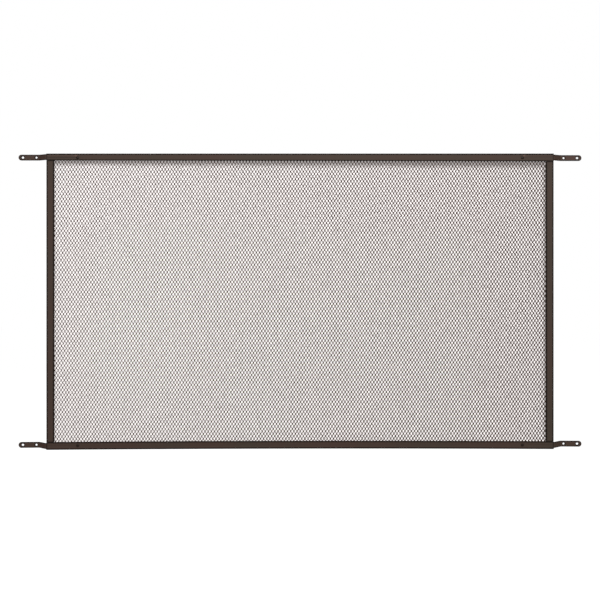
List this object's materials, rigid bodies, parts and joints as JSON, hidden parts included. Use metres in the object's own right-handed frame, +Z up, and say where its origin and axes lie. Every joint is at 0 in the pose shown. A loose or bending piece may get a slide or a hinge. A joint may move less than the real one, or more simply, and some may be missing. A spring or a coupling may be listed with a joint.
{
  "type": "mesh guard screen",
  "caption": "Rectangular expanded-metal guard screen in a bronze channel frame, with stepped screw ears at its corners",
  "frame": {"origin": "on the plane of the four ears' back faces, midway between them", "axes": "+X to the right seen from the front, +Y to the back (towards the door or wall), +Z up"},
  "size_m": [0.8764, 0.0135, 0.4576],
  "materials": {
    "rail": "dark bronze anodised, satin",
    "mesh": "dark bronze, satin",
    "bracket": "dark bronze paint, satin",
    "rivet": "dark bronze, satin"
  },
  "bodies": {
    "root": {"top_rail": "rail", "bottom_rail": "rail", "left_rail": "rail", "right_rail": "rail", "expanded_sheet": "mesh", "top_left_bracket": "bracket", "top_right_bracket": "bracket", "bottom_left_bracket": "bracket", "bottom_right_bracket": "bracket", "top_left_rivet": "rivet", "top_right_rivet": "rivet", "bottom_left_rivet": "rivet", "bottom_right_rivet": "rivet"}
  },
  "joints": []
}
